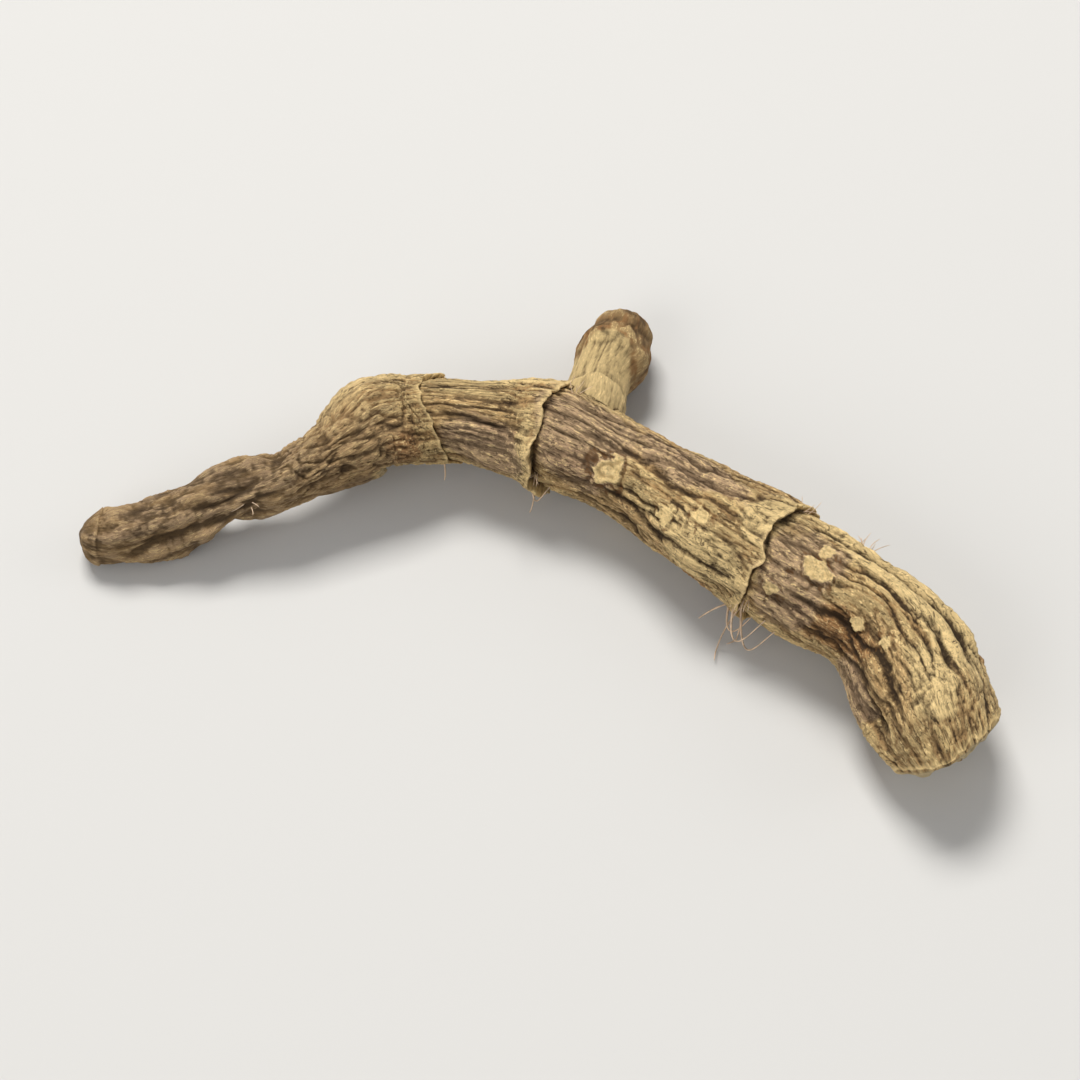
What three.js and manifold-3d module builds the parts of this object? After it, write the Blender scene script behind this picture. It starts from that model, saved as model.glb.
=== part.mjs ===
// A dried sweet flag rhizome, one grown piece, lying on its side on a flat surface.
// The creeping stem bends like a bow and thins out into a tail. Leaf-sheath collars ring it,
// a short side shoot stands at the widest collar, a root stump hugs the underside of the
// tail, and round scars mark where the roots broke off.
// Units are millimetres and +Z is up. The origin is on the surface, under the box's middle.

import * as THREE from "three";
import { mergeVertices } from "three/addons/utils/BufferGeometryUtils.js";
import Module from "manifold-3d";

const FLATNESS = 0.93; // half-height over half-width of a stem's section
const ROOT_SINK = 1.6; // how deep a root scar's button goes into the skin
const SLANT_REACH = 16; // how far from a slanting end its skin is drawn back
const SLANT_TURN = Math.PI / 6; // from a stem's top to the longest side of its slanting end
const UP = new THREE.Vector3(0, 0, 1);

// One place on a stem: the middle of its section, and half of its width.
const place = (x, y, z, half) => ({ x, y, z, half });

// A collar is the worn rim of a leaf sheath. It stands out by lip over the stretch before it.
// tilt moves its upper side along the stem, and jag is the depth of its torn edge.
const collar = (at, lip, tilt, jag) => ({ at, lip, tilt, jag });

// A knob is a rounded lump (or a hollow, where height is negative) on the skin.
const knob = (at, turn, height, along, around) => ({ at, turn, height, along, around });

// The main stem, from the tail's tip to the broken end. Its slanting break overhangs its foot.
const MAIN = {
  sides: 56,
  ringStep: 2.1,
  ribs: 11,
  ribHeight: 0.62,
  tipLength: 2.6,
  endDome: 1.5,
  endDimple: 0.6,
  endSlant: 7.5,
  places: [
    place(-53.9, 0.0, 2.8, 2.7),
    place(-49.7, -0.4, 2.75, 3.2),
    place(-42.2, 1.2, 4.2, 3.8),
    place(-36.5, 2.7, 6.2, 3.5),
    place(-29.0, 4.7, 7.5, 3.4),
    place(-22.8, 8.6, 8.2, 4.1),
    place(-17.8, 12.4, 8.0, 5.2),
    place(-11.2, 14.2, 7.3, 5.0),
    place(-3.1, 13.2, 7.0, 5.6),
    place(3.6, 11.4, 7.1, 6.2),
    place(13.4, 5.6, 7.1, 5.6),
    place(24.6, -2.8, 7.7, 6.7),
    place(32.0, -8.0, 7.5, 7.0),
    place(41.4, -15.2, 7.3, 6.9),
    place(46.2, -23.6, 6.7, 7.5),
    place(47.9, -28.4, 6.6, 7.1),
    place(49.5, -33.2, 6.3, 5.3),
  ],
  collars: [
    collar(2.7, 0.15, 0.0, 0.1),
    collar(12.5, 0.1, 0.5, 0.3),
    collar(22.3, 0.15, 1.0, 0.3),
    collar(34.0, -0.3, -1.0, 0.5),
    collar(48.8, 0.55, -3.6, 0.5),
    collar(62.4, 1.25, -1.6, 0.6),
    collar(93.6, 0.75, -0.6, 0.8),
  ],
  knobs: [
    knob(9.5, 95, 0.7, 4.0, 2.5),
    knob(38.5, -40, 0.6, 3.5, 3.0),
    knob(41.0, 70, 0.9, 4.0, 2.6),
    knob(45.5, 110, 0.8, 3.5, 3.0),
    knob(53.0, -60, -0.6, 3.5, 3.5),
    knob(57.5, 80, 0.7, 4.5, 3.5),
    knob(72.0, -170, 0.8, 6.0, 4.0),
    knob(84.0, 70, 0.7, 6.0, 4.0),
    knob(97.0, 150, 0.6, 5.0, 4.0),
    knob(106.0, 70, -0.5, 6.0, 4.0),
    knob(116.0, -60, 0.5, 4.0, 4.0),
    knob(120.0, -88, 0.6, 2.2, 2.5),
    knob(120.0, 74, -0.9, 5.0, 1.4),
    knob(120.0, 100, 0.9, 5.0, 1.8),
  ],
};

// The side shoot, from inside the main stem out to its swollen bud.
const SHOOT = {
  sides: 24,
  ringStep: 1.5,
  ribs: 6,
  ribHeight: 0.3,
  tipLength: 0.1,
  endDome: 3.6,
  endDimple: 0,
  endSlant: 0,
  places: [
    place(6.2, 10.2, 6.8, 5.0),
    place(8.2, 15.8, 6.3, 4.2),
    place(9.4, 20.6, 5.3, 3.8),
    place(11.1, 24.7, 4.35, 4.85),
    place(12.2, 27.7, 4.2, 3.9),
  ],
  collars: [collar(7.4, 0.3, 0.5, 0.5), collar(12.6, -0.3, 1.6, 0.4)],
  knobs: [knob(16.5, -30, 0.4, 2.5, 2.0)],
};

// The root stump under the tail.
const STUMP = {
  sides: 12,
  ringStep: 1.5,
  ribs: 4,
  ribHeight: 0.2,
  tipLength: 1.4,
  endDome: 1.2,
  endDimple: 0,
  endSlant: 0,
  places: [
    place(-31.5, 4.0, 6.2, 1.7),
    place(-23.4, 6.6, 5.5, 2.0),
    place(-18.0, 8.2, 5.5, 1.6),
  ],
  collars: [],
  knobs: [],
};

// A root scar seen on the upper side: where along the main stem, its turn from the top, and size.
const scar = (at, turn, radius) => ({ at, turn, radius });
const UPPER_SCARS = [
  scar(71.5, 38, 1.7),
  scar(81.0, 46, 1.0),
  scar(85.0, 26, 1.0),
  scar(96.2, 52, 1.0),
  scar(100.0, 14, 1.5),
  scar(99.6, -10, 0.8),
  scar(107.5, 34, 0.9),
  scar(112.0, 24, 0.8),
];

// Root scars in zigzag rows along the underside, one row to each stretch between collars.
const SCAR_ROWS = [
  { from: 52, to: 60, turn: 165 },
  { from: 67, to: 91, turn: 150 },
  { from: 67, to: 91, turn: -125 },
  { from: 97, to: 117, turn: 175 },
  { from: 97, to: 117, turn: -110 },
];
const SCAR_STEP = 6.0; // between neighbours of one row, along the stem
const SCAR_ZIGZAG = 14; // degrees to each side of the row's middle
const SCAR_RADIUS = 1.3;
const SCAR_SIDES = 8;

const curveThrough = (points) => new THREE.CatmullRomCurve3(points, false, "catmullrom", 0.5);

// A stem's centre line and the half-widths along it, which share one parameter.
function layOut(stem) {
  const spine = curveThrough(stem.places.map((p) => new THREE.Vector3(p.x, p.y, p.z)));
  const girth = curveThrough(stem.places.map((p) => new THREE.Vector3(p.half, 0, 0)));
  spine.arcLengthDivisions = 600;
  return { ...stem, spine, girth, length: spine.getLength() };
}

// A torn edge: two waves round the stem that differ from collar to collar.
function tornEdge(ring, angle) {
  const wave = Math.sin(3 * angle + ring.at) + 0.6 * Math.sin(7 * angle + 2 * ring.at);
  return ring.tilt * Math.cos(angle) + ring.jag * wave * 0.6;
}

// How far the collars move a point along the stem, so that its rings follow their torn edges.
function shiftAlong(stem, along, angle) {
  const reach = 5;
  let shift = 0;
  for (const ring of stem.collars) {
    const near = Math.max(0, 1 - Math.abs(along - ring.at) / reach);
    shift += tornEdge(ring, angle) * near * near * (3 - 2 * near);
  }
  return shift;
}

// How far a slanting end draws a point back: not at all on its longest side, most opposite.
function slantBack(stem, across, angle, along) {
  const near = Math.max(0, 1 - (stem.length - along) / SLANT_REACH);
  const low = (1 - across * Math.cos(angle - SLANT_TURN)) / 2;
  return stem.endSlant * low * near * near * (3 - 2 * near);
}

// The collars' share of the half-width: a flare up to each rim and an undercut behind it.
function collarLift(stem, along) {
  const flareLength = 2.6;
  const undercutLength = 1.6;
  const undercut = 0.45;
  let lift = 0;
  for (const ring of stem.collars) {
    const past = along - ring.at;
    if (past <= 0) lift += ring.lip * Math.exp(past / flareLength);
    else lift -= ring.lip * undercut * Math.exp(-past / undercutLength);
  }
  return lift;
}

// Long ribs from drying, with sharp furrows between them. Each collar starts new ones.
function ribLift(stem, along, angle) {
  const stretch = stem.collars.filter((ring) => along > ring.at).length;
  const wander = 0.9 * Math.sin(along / 5.2 + 2.3 * stretch) + 0.5 * Math.sin(along / 2.3 + 2 * angle);
  const wave = Math.abs(Math.sin((stem.ribs * angle) / 2 + wander * 0.7 + 1.9 * stretch));
  const uneven = 0.75 + 0.25 * Math.sin(2 * angle + along / 4);
  return stem.ribHeight * uneven * (wave - 0.64);
}

function knobLift(stem, along, angle, half) {
  let lift = 0;
  for (const k of stem.knobs) {
    const apart = angle - THREE.MathUtils.degToRad(k.turn);
    const round = Math.atan2(Math.sin(apart), Math.cos(apart)) * half;
    lift += k.height * Math.exp(-(((along - k.at) / k.along) ** 2) - (round / k.around) ** 2);
  }
  return lift;
}

// A point of the skin. across is 1 on the skin and 0 on the centre line.
function skinPoint(stem, across, angle, along) {
  const torn = across * shiftAlong(stem, along, angle);
  const back = slantBack(stem, across, angle, along);
  const moved = THREE.MathUtils.clamp(along + torn - back, 0, stem.length);
  const t = stem.spine.getUtoTmapping(moved / stem.length);
  const middle = stem.spine.getPoint(t);
  const ahead = stem.spine.getTangent(t);
  const side = new THREE.Vector3().crossVectors(ahead, UP).normalize();
  const top = new THREE.Vector3().crossVectors(side, ahead);
  const half = stem.girth.getPoint(t).x;
  const slender = Math.min(1, half / 5);
  const lift = collarLift(stem, along) + slender * ribLift(stem, along, angle);
  const reach = across * (half + lift + knobLift(stem, along, angle, half));
  return middle
    .addScaledVector(side, reach * Math.sin(angle))
    .addScaledVector(top, reach * FLATNESS * Math.cos(angle));
}

// The stem as a straight unit rod: its rings' shares of the radius and their places along it.
function rodProfile(stem) {
  const profile = [];
  const domeRings = 4;
  for (let i = 0; i < domeRings; i++) {
    const turn = (i / domeRings) * (Math.PI / 2);
    profile.push(new THREE.Vector2(Math.sin(turn), stem.tipLength * (1 - Math.cos(turn))));
  }
  const rimGap = 0.12;
  const stops = [stem.tipLength, ...stem.collars.map((ring) => ring.at), stem.length];
  for (let i = 0; i + 1 < stops.length; i++) {
    const from = stops[i] + (i > 0 ? rimGap : 0);
    const to = stops[i + 1] - (i + 2 < stops.length ? rimGap : 0);
    const rings = Math.max(1, Math.round((to - from) / stem.ringStep));
    for (let j = 0; j <= rings; j++) {
      profile.push(new THREE.Vector2(1, from + ((to - from) * j) / rings));
    }
  }
  return profile;
}

// Closes the far end with a round-edged face, which has a dimple and is a little uneven.
function endPoint(stem, across, angle) {
  const face = skinPoint(stem, across, angle, stem.length);
  const dome = stem.endDome * Math.max(0, 1 - across ** 2.4) ** 0.5;
  const dimple = stem.endDimple * Math.exp(-((across / 0.45) ** 2));
  const uneven = 0.25 * (1 - across) * across * Math.sin(4 * angle);
  return face.addScaledVector(stem.spine.getTangent(1), dome - dimple + uneven);
}

function stemGeometry(plan) {
  const stem = layOut(plan);
  const profile = rodProfile(stem);
  const endRings = [0.96, 0.84, 0.6, 0.3, 0];
  endRings.forEach((across, i) => profile.push(new THREE.Vector2(across, stem.length + i + 1)));
  const geometry = new THREE.LatheGeometry(profile, stem.sides);
  const position = geometry.attributes.position;
  for (let i = 0; i < position.count; i++) {
    const across = Math.hypot(position.getX(i), position.getZ(i));
    const angle = Math.atan2(position.getX(i), position.getZ(i));
    const along = position.getY(i);
    const point =
      along > stem.length
        ? endPoint(stem, across, angle)
        : skinPoint(stem, across, angle, along);
    position.setXYZ(i, point.x, point.y, point.z);
  }
  return geometry;
}

// A root scar: a low round button with a dimple, its root sunk into the skin.
function scarGeometry(stem, mark) {
  const angle = THREE.MathUtils.degToRad(mark.turn);
  const foot = skinPoint(stem, 1, angle, mark.at);
  const inner = skinPoint(stem, 0.5, angle, mark.at);
  const outward = foot.clone().sub(inner).normalize();
  const profile = [
    new THREE.Vector2(0, -ROOT_SINK),
    new THREE.Vector2(mark.radius, 0.2),
    new THREE.Vector2(mark.radius * 0.55, 0.4),
    new THREE.Vector2(0, 0.05),
  ];
  const turned = new THREE.Quaternion().setFromUnitVectors(new THREE.Vector3(0, 1, 0), outward);
  return new THREE.LatheGeometry(profile, SCAR_SIDES)
    .applyQuaternion(turned)
    .translate(foot.x, foot.y, foot.z);
}

function rowScars() {
  const marks = [];
  for (const row of SCAR_ROWS) {
    for (let at = row.from, side = 1; at <= row.to; at += SCAR_STEP, side = -side) {
      marks.push(scar(at, row.turn + side * SCAR_ZIGZAG, SCAR_RADIUS));
    }
  }
  return marks;
}

const wasm = await Module();
wasm.setup();

// A closed geometry as a solid: vertices merged by position, and collapsed triangles dropped.
function solidOf(geometry) {
  geometry.deleteAttribute("normal");
  geometry.deleteAttribute("uv");
  const merged = mergeVertices(geometry, 1e-4);
  const corners = [];
  for (let i = 0; i < merged.index.count; i += 3) {
    const [a, b, c] = [0, 1, 2].map((k) => merged.index.getX(i + k));
    if (a !== b && b !== c && c !== a) corners.push(a, b, c);
  }
  const mesh = new wasm.Mesh({
    numProp: 3,
    vertProperties: merged.attributes.position.array,
    triVerts: new Uint32Array(corners),
  });
  return new wasm.Manifold(mesh);
}

function geometryOf(solid) {
  const mesh = solid.getMesh();
  const geometry = new THREE.BufferGeometry();
  geometry.setAttribute("position", new THREE.BufferAttribute(mesh.vertProperties, 3));
  geometry.setIndex(new THREE.BufferAttribute(mesh.triVerts, 1));
  geometry.computeVertexNormals();
  return geometry;
}

// Everything below the surface is worn flat, which leaves the small spots that it rests on.
function belowSurface() {
  const depth = 20;
  return new THREE.BoxGeometry(200, 200, depth).translate(0, 0, -depth / 2);
}

function rhizomeGeometry() {
  let solid = solidOf(stemGeometry(MAIN));
  solid = solid.add(solidOf(stemGeometry(SHOOT))).add(solidOf(stemGeometry(STUMP)));
  const stem = layOut(MAIN);
  for (const mark of [...UPPER_SCARS, ...rowScars()]) {
    solid = solid.add(solidOf(scarGeometry(stem, mark)));
  }
  const geometry = geometryOf(solid.subtract(solidOf(belowSurface())));
  geometry.computeBoundingBox();
  const middle = geometry.boundingBox.getCenter(new THREE.Vector3());
  return geometry.translate(-middle.x, -middle.y, 0);
}

const bark = new THREE.MeshStandardMaterial({
  color: new THREE.Color(0.42, 0.33, 0.21),
  roughness: 0.85,
  metalness: 0,
  flatShading: true,
});

const rhizome = new THREE.Mesh(rhizomeGeometry(), bark);
rhizome.name = "rhizome";

const part = new THREE.Group();
part.name = "sweet_flag_rhizome";
part.add(rhizome);

export default part;
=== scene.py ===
from dataclasses import dataclass

import bmesh
import bpy
import numpy as np
from bpy.props import FloatProperty, FloatVectorProperty, IntProperty, PointerProperty
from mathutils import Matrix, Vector, noise


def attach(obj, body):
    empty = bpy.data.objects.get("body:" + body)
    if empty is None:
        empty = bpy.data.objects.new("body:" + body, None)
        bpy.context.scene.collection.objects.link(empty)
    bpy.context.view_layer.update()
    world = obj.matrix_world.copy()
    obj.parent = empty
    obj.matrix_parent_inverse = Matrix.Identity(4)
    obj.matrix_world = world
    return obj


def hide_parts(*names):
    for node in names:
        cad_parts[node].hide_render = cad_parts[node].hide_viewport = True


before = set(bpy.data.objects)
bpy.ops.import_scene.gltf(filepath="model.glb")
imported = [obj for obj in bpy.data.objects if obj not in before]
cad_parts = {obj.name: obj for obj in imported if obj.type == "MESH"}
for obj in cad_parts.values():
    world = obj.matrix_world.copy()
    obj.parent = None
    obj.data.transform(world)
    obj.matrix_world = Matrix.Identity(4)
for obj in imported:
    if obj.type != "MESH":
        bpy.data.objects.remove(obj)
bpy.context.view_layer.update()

bl_info = {
    "name": "Sweet flag rhizome",
    "version": (1, 0, 0),
    "blender": (4, 5, 0),
    "location": "3D View > Sidebar > Rhizome",
    "description": "Dresses a dried sweet flag rhizome's solid with its skin, roots and colours",
    "category": "Add Mesh",
}

# Lengths are in millimetres until a mesh is written. Turns round a stem start at its top; they
# are in degrees in the tables and in radians in the sums.
MM = 0.001
UP = np.array([0.0, 0.0, 1.0])
NODE = "rhizome"
BODY = "root"
# The middle of the solid's box before it was centred on the origin.
FORM_MIDDLE = np.array([0.419, -1.665, 0.0])
FLATNESS = 0.93  # half-height over half-width of a stem's section
NOISE_RADIUS = 5.5  # a stem's half-width as far as the patterns on its skin go
COLUMN_SHIFT = 0.2  # how much closer together than even the mesh's columns lie on top
RIM_FADE = 0.8  # over this length before a torn edge, the skin takes the worn look of its rim
FRAY_FADE = 2.6  # over this length before a torn edge, its teeth fade out
FLARE_REACH = 2.6  # over this length before its edge, a collar rises to its lip
HOLLOW_REACH = 1.6  # over this length behind a collar, the stem comes out of its hollow
HOLLOW = 0.45  # depth of that hollow, as a share of the lip
LEAST_LIP, GREATEST_LIP = 0.12, 1.05  # what wear leaves of a lip
GAP_SHUT, GAP_OPEN = 0.1, 0.7  # shares of a lip at which the gap under it is shut and open
WORN_LIP_LENGTH = 0.25  # over this length, the rows of a worn lip lie side by side
RIM_CALM = 0.35  # how much less wrinkled the skin is at a collar's rim
SHELTER = 0.45  # how much less wrinkled it is just behind a collar
SHELTER_FADE = 1.2  # over this length behind a collar, its wrinkles come back
# Steps over a lip's round edge: how far past it, as a share of the lip, and how deep, as a share
# of the lip's thickness. Then the number of steps under it.
LIP_ROUND = ((0.0, 0.0), (0.06, 0.25), (0.08, 0.6), (0.02, 1.0))
UNDER_STEPS = 3
SHIFT_REACH = 8.0  # how far from a collar's tilted edge the skin follows it
SLANT_REACH = 16.0  # how far from a slanting end its skin is drawn back
SLANT_TURN = np.pi / 6  # from a stem's top to the longest side of its slanting end


# What a stem and its skin are made of.
@dataclass
class Collar:
    """The worn rim of a leaf sheath: its place along the stem, lip, tilt and jagged depth."""

    at: float
    lip: float
    tilt: float
    jag: float


@dataclass
class Knob:
    """A rounded lump, or a hollow where height is negative, on a stem's skin."""

    at: float
    turn: float
    height: float
    along: float
    around: float


@dataclass
class Crease:
    """A long furrow of the skin, or a ridge where depth is negative: its ends, turns and size."""

    start: float
    end: float
    start_turn: float
    end_turn: float
    depth: float
    width: float


@dataclass
class Scar:
    """A round mark where a root broke off: its place along the main stem, its turn and radius."""

    at: float
    turn: float
    radius: float


@dataclass
class Stem:
    """A bent rod: its centre line and half-widths, its two ends and what stands on its skin."""

    places: list  # x, y and z of the centre line, with the half-width there
    gauge: float  # the half-width that the mesh's columns are counted for
    collars: list
    knobs: list
    ribs: int
    rib_height: float
    tip: float  # length of its rounded start
    dome: float  # how far its end face bulges
    dimple: float  # how far the middle of that face is sunk
    slant: float  # how far one side of its end stands back
    furrowed: float  # its share of the wrinkles
    broken: bool  # whether its end is torn off

    def __post_init__(self):
        self.line = spline(self.places, np.linspace(0.0, 1.0, 4001))
        steps = np.linalg.norm(np.diff(self.line[:, :3], axis=0), axis=1)
        self.arc = np.concatenate([[0.0], np.cumsum(steps)])
        ahead = np.gradient(self.line[:, :3], axis=0)
        self.ahead = ahead / np.linalg.norm(ahead, axis=1)[:, None]
        self.length = self.arc[-1]

    def sample(self, table, along):
        """The table's rows at places along the stem."""
        return np.stack([np.interp(along, self.arc, column) for column in table.T], axis=-1)

    def half(self, along):
        """The half-width at places along the stem."""
        return np.interp(along, self.arc, self.line[:, 3])


def spline(places, t):
    """Points of a smooth curve through the places, at each t from 0 to 1."""
    knots = np.asarray(places, float)
    knots = np.vstack([2 * knots[0] - knots[1], knots, 2 * knots[-1] - knots[-2]])
    spans = len(places) - 1
    x = np.clip(t * spans, 0, spans - 1e-9)
    i = x.astype(int)
    w = (x - i)[:, None]
    before, start, end, after = knots[i], knots[i + 1], knots[i + 2], knots[i + 3]
    leave, arrive = (end - before) / 2, (after - start) / 2
    cubic = 2 * start - 2 * end + leave + arrive
    square = -3 * start + 3 * end - 2 * leave - arrive
    return start + leave * w + square * w**2 + cubic * w**3


# The main stem, its side shoot and the stump of a root.
MAIN = Stem(
    places=[
        (-53.9, 0.0, 2.8, 2.7),
        (-49.7, -0.4, 2.75, 3.2),
        (-42.2, 1.2, 4.2, 3.8),
        (-36.5, 2.7, 6.2, 3.5),
        (-29.0, 4.7, 7.5, 3.4),
        (-22.8, 8.6, 8.2, 4.1),
        (-17.8, 12.4, 8.0, 5.2),
        (-11.2, 14.2, 7.3, 5.0),
        (-3.1, 13.2, 7.0, 5.6),
        (3.6, 11.4, 7.1, 6.2),
        (13.4, 5.6, 7.1, 5.6),
        (24.6, -2.8, 7.7, 6.7),
        (32.0, -8.0, 7.5, 7.0),
        (41.4, -15.2, 7.3, 6.9),
        (46.2, -23.6, 6.7, 7.5),
        (47.9, -28.4, 6.6, 7.1),
        (49.5, -33.2, 6.3, 5.3),
    ],
    gauge=7.21,
    collars=[
        Collar(2.7, 0.15, 0.0, 0.1),
        Collar(12.5, 0.1, 0.5, 0.3),
        Collar(22.3, 0.15, 1.0, 0.3),
        Collar(34.0, -0.3, -1.0, 0.5),
        Collar(48.8, 0.55, -3.6, 0.5),
        Collar(62.4, 1.25, -1.6, 0.6),
        Collar(93.6, 0.75, -0.6, 0.8),
    ],
    knobs=[
        Knob(9.5, 95, 0.7, 4.0, 2.5),
        Knob(38.5, -40, 0.6, 3.5, 3.0),
        Knob(41.0, 70, 0.9, 4.0, 2.6),
        Knob(45.5, 110, 0.8, 3.5, 3.0),
        Knob(53.0, -60, -0.6, 3.5, 3.5),
        Knob(57.5, 80, 0.7, 4.5, 3.5),
        Knob(72.0, -170, 0.8, 6.0, 4.0),
        Knob(84.0, 70, 0.7, 6.0, 4.0),
        Knob(97.0, 150, 0.6, 5.0, 4.0),
        Knob(106.0, 70, -0.5, 6.0, 4.0),
        Knob(116.0, -60, 0.5, 4.0, 4.0),
        Knob(120.0, -88, 0.6, 2.2, 2.5),
        Knob(120.0, 74, -0.9, 5.0, 1.4),
        Knob(120.0, 100, 0.9, 5.0, 1.8),
    ],
    ribs=11,
    rib_height=0.62,
    tip=2.6,
    dome=1.5,
    dimple=0.6,
    slant=7.5,
    furrowed=1.0,
    broken=True,
)
SHOOT = Stem(
    places=[
        (6.2, 10.2, 6.8, 5.0),
        (8.2, 15.8, 6.3, 4.2),
        (9.4, 20.6, 5.3, 3.8),
        (11.1, 24.7, 4.35, 4.85),
        (12.2, 27.7, 4.2, 3.9),
    ],
    gauge=4.2,
    collars=[Collar(7.4, 0.3, 0.5, 0.5), Collar(12.6, -0.3, 1.6, 0.4)],
    knobs=[Knob(16.5, -30, 0.4, 2.5, 2.0)],
    ribs=6,
    rib_height=0.3,
    tip=0.1,
    dome=3.6,
    dimple=0.0,
    slant=0.0,
    furrowed=0.35,
    broken=False,
)
STUMP = Stem(
    places=[
        (-31.5, 4.0, 6.2, 1.7),
        (-23.4, 6.6, 5.5, 2.0),
        (-18.0, 8.2, 5.5, 1.6),
    ],
    gauge=2.0,
    collars=[],
    knobs=[],
    ribs=4,
    rib_height=0.2,
    tip=1.4,
    dome=1.2,
    dimple=0.0,
    slant=0.0,
    furrowed=0.7,
    broken=True,
)
SHOOT_NECK_END = 12.6
SHOOT_TONGUE = -12  # the turn at which the pale neck reaches furthest into the bud
OVERHANGING = 0.4  # collars with a lip of at least this stand off the skin behind them
CRUMPLED_FROM, CRUMPLED_TO = 27.0, 46.0
TAIL_END = 30.0
OLD_SKIN_ENDS = 22, 50  # the main stem's skin is old up to the first and no more at the second

# Marks and tones of the main stem's skin. Turns from -90 to 90 degrees are on its upper side.
CREASES = [
    Crease(94.5, 122.0, -34, -42, 0.55, 0.5),
    Crease(93.8, 124.0, -58, -66, 0.5, 0.45),
    Crease(102.0, 121.0, -12, -16, 0.45, 0.45),
    Crease(97.0, 123.0, 48, 40, 0.6, 0.5),
    Crease(99.0, 124.0, 74, 68, 0.5, 0.45),
    Crease(96.0, 119.0, -46, -54, -0.4, 0.8),
    Crease(99.0, 120.0, -22, -29, -0.35, 0.8),
    Crease(63.5, 92.0, -38, -30, 0.45, 0.45),
    Crease(66.0, 90.0, 4, 16, 0.4, 0.4),
    Crease(72.0, 92.5, 62, 74, 0.5, 0.5),
    Crease(64.0, 86.0, 92, 98, 0.5, 0.5),
    Crease(50.0, 61.0, 30, 42, 0.35, 0.4),
    Crease(49.5, 60.0, -18, -26, 0.35, 0.4),
    Crease(4.0, 27.0, 70, 62, 0.7, 0.6),
    Crease(8.0, 24.0, 18, 30, 0.35, 0.5),
    Crease(95.0, 120.0, 128, 140, 0.5, 0.5),
    Crease(66.0, 90.0, -96, -104, 0.5, 0.5),
    Crease(95.0, 121.0, -98, -108, 0.5, 0.5),
]

UPPER_SCARS = [
    Scar(71.5, 38, 1.7),
    Scar(81.0, 46, 1.0),
    Scar(85.0, 26, 1.0),
    Scar(96.2, 52, 1.0),
    Scar(100.0, 14, 1.5),
    Scar(99.6, -10, 0.8),
    Scar(107.5, 34, 0.9),
    Scar(112.0, 24, 0.8),
]
# Zigzag rows of scars along the underside: first and last place along the stem, and the turn.
SCAR_ROWS = [(52, 60, 165), (67, 91, 150), (67, 91, -125), (97, 117, 175), (97, 117, -110)]
SCAR_STEP = 6.0
SCAR_ZIGZAG = 14
SCAR_RADIUS = 1.3


@dataclass
class Patch:
    """A part of the main stem's skin in a tone of its own: its middle, turn and half-sizes."""

    at: float
    turn: float
    along: float
    around: float


PALE_PATCHES = [
    Patch(39.0, -55, 6.0, 2.0),
    Patch(57.0, -60, 6.0, 3.0),
    Patch(60.0, 60, 2.0, 6.0),
    Patch(85.0, 62, 9.0, 4.5),
    Patch(92.0, -10, 3.0, 5.0),
    Patch(110.0, -45, 16.0, 4.5),
    Patch(119.0, 12, 6.0, 4.0),
    Patch(80.0, 170, 9.0, 6.0),
    Patch(108.0, 160, 8.0, 6.0),
    Patch(58.0, -150, 5.0, 6.0),
]
DUSKY_PATCHES = [
    Patch(55.0, 62, 6.0, 4.5),
    Patch(67.0, 15, 6.5, 8.0),
    Patch(80.0, -25, 9.0, 3.5),
    Patch(98.0, 30, 5.5, 8.0),
    Patch(113.0, 85, 7.0, 3.5),
    Patch(97.0, -150, 6.0, 8.0),
    Patch(68.0, -140, 6.0, 7.0),
]
BROWN_PATCHES = [
    Patch(113.0, 48, 11.0, 4.5),
    Patch(74.0, 82, 11.0, 3.0),
    Patch(36.0, 60, 8.0, 4.0),
    Patch(54.0, 30, 6.0, 3.0),
    Patch(88.0, -70, 8.0, 3.0),
    Patch(105.0, -125, 9.0, 4.0),
    Patch(56.0, 170, 7.0, 4.0),
]
RUSSET_PATCHES = [
    Patch(68.0, 48, 4.0, 2.5),
    Patch(106.0, 58, 8.0, 4.0),
    Patch(41.0, 75, 4.0, 3.0),
    Patch(75.0, -100, 8.0, 4.0),
    Patch(88.0, 125, 6.0, 4.0),
    Patch(118.0, -95, 5.0, 4.0),
    Patch(50.0, 150, 5.0, 4.0),
]


def all_scars():
    """The scars that the upper side shows and the zigzag rows of the underside."""
    scars = list(UPPER_SCARS)
    for first, last, turn in SCAR_ROWS:
        count = int((last - first) / SCAR_STEP) + 1
        for i in range(count):
            sway = SCAR_ZIGZAG if i % 2 == 0 else -SCAR_ZIGZAG
            scars.append(Scar(first + i * SCAR_STEP, turn + sway, SCAR_RADIUS))
    return scars


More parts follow.
